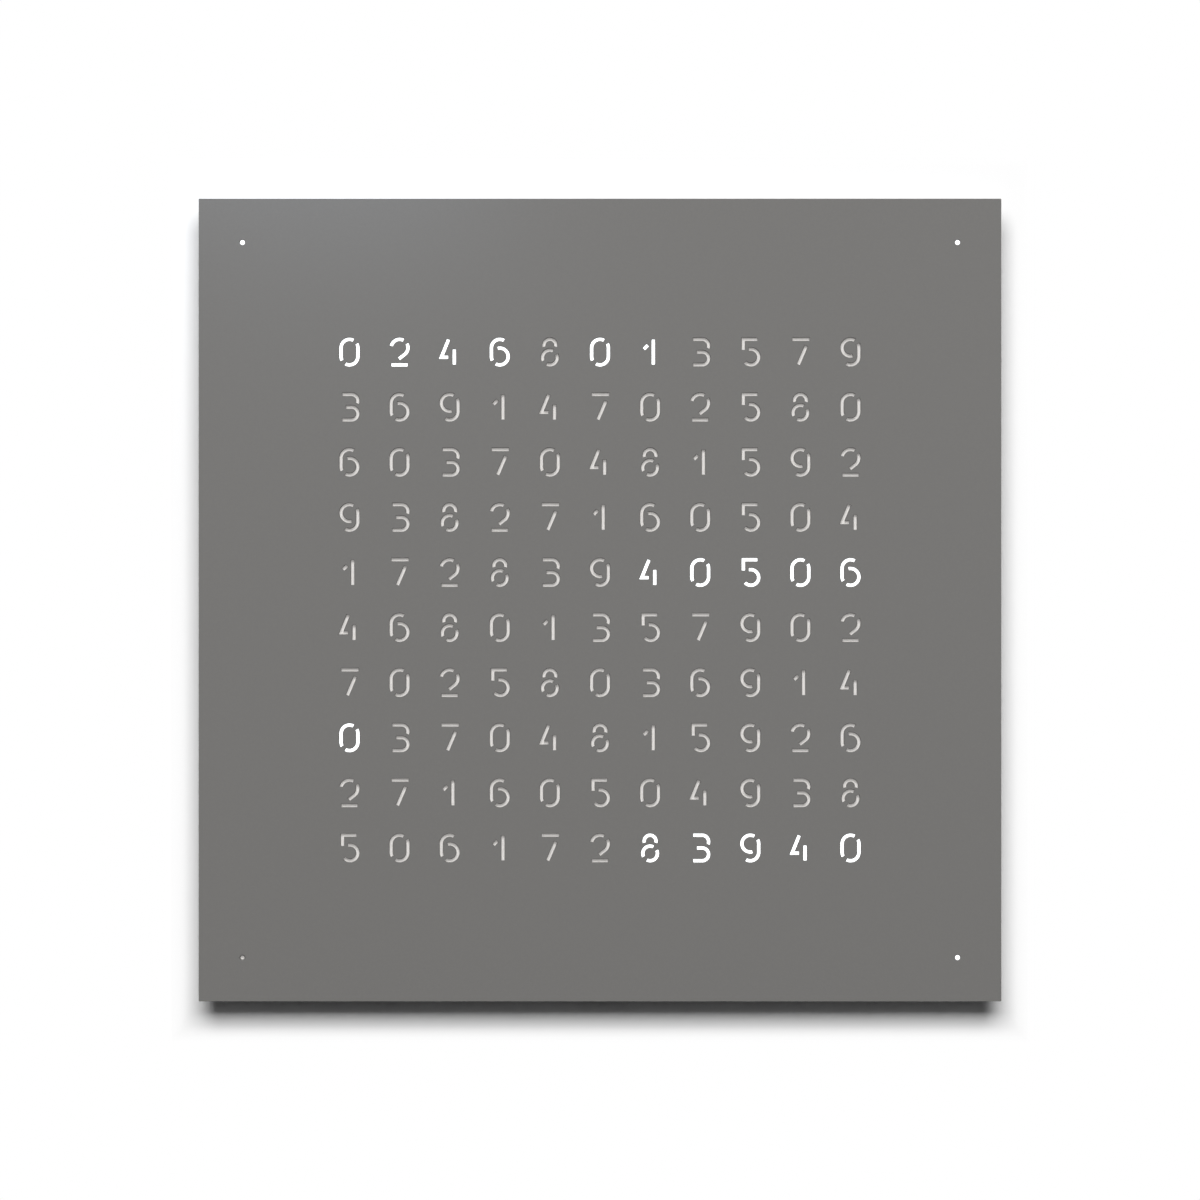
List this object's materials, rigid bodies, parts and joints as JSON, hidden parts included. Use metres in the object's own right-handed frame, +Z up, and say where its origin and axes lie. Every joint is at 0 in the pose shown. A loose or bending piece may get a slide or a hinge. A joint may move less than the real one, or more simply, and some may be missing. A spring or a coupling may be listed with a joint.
{
  "type": "word clock",
  "caption": "Square wall clock with a magnetic stencil-cut metal cover over back-lit cells, corner minute dots, keyhole hangers and three push buttons.",
  "frame": {"origin": "middle of the wall plane, on the face of the middle wall pad", "axes": "+Z up, +X to the right seen from the front, +Y into the wall"},
  "size_m": [0.45, 0.02, 0.45],
  "materials": {
    "cover_coat": "satin grey powder coat with a fine texture",
    "housing_plastic": "fine spark texture, charcoal",
    "stud_steel": "turned, zinc plated",
    "magnet_nickel": "nickel plated",
    "screw_steel": "zinc plated",
    "hanger_steel": "galvanised",
    "pad_rubber": "soft matt black",
    "opal_sheet": "opal, satin",
    "grid_white": "moulded, matt white",
    "board_white": "white solder mask",
    "board_green": "green solder mask",
    "led_white": "white package with a pale phosphor window",
    "chip_black": "moulded epoxy",
    "can_metal": "drawn can",
    "cell_steel": "stamped, bright",
    "socket_cream": "nylon, cream",
    "ribbon_white": "laminated flat cable",
    "cable_black": "soft jacket",
    "contact_brass": "plated contact",
    "button_plastic": "smooth, dark grey",
    "window_clear": "clear moulding"
  },
  "bodies": {
    "housing": {"housing_frame": "housing_plastic", "cover_magnets": "magnet_nickel", "back_panel": "housing_plastic", "back_panel_screws": "screw_steel", "keyhole_hanger_left": "hanger_steel", "keyhole_hanger_right": "hanger_steel", "hanger_rivets": "hanger_steel", "wall_pads": "pad_rubber", "diffuser_sheet": "opal_sheet", "light_grid": "grid_white", "corner_light_tubes": "grid_white", "led_board_upper": "board_white", "led_board_lower": "board_white", "leds_upper": "led_white", "leds_lower": "led_white", "corner_led_boards": "board_white", "corner_leds": "led_white", "board_standoffs": "contact_brass", "led_board_screws": "screw_steel", "led_driver_chips": "chip_black", "ribbon_to_control": "ribbon_white", "ribbon_between_boards": "ribbon_white", "ribbon_connectors": "socket_cream", "corner_led_cables": "cable_black", "cable_sockets": "socket_cream", "control_board": "board_green", "control_board_screws": "screw_steel", "microcontroller": "chip_black", "clock_chip": "chip_black", "clock_crystal": "can_metal", "capacitors": "can_metal", "voltage_regulator": "chip_black", "coin_cell_holder": "chip_black", "coin_cell": "cell_steel", "power_inlet": "chip_black", "inlet_pin": "contact_brass", "cable_trough": "housing_plastic", "light_sensor": "chip_black", "sensor_window": "window_clear", "switch_bodies": "chip_black"},
    "cover": {"front_cover": "cover_coat", "cover_studs": "stud_steel"},
    "button_1": {"button_cap_1": "button_plastic", "switch_plunger_1": "socket_cream"},
    "button_2": {"button_cap_2": "button_plastic", "switch_plunger_2": "socket_cream"},
    "button_3": {"button_cap_3": "button_plastic", "switch_plunger_3": "socket_cream"}
  },
  "joints": [
    {"name": "cover_pull", "type": "slide", "parent": "housing", "child": "cover", "axis": [0, -1, 0], "range_m": [0, 0.06]},
    {"name": "button_1_press", "type": "slide", "parent": "housing", "child": "button_1", "axis": [0, 0, 1], "range_m": [0, 0.0006], "stiffness_N_per_m": 400},
    {"name": "button_2_press", "type": "slide", "parent": "housing", "child": "button_2", "axis": [0, 0, 1], "range_m": [0, 0.0006], "stiffness_N_per_m": 400},
    {"name": "button_3_press", "type": "slide", "parent": "housing", "child": "button_3", "axis": [0, 0, 1], "range_m": [0, 0.0006], "stiffness_N_per_m": 400}
  ]
}
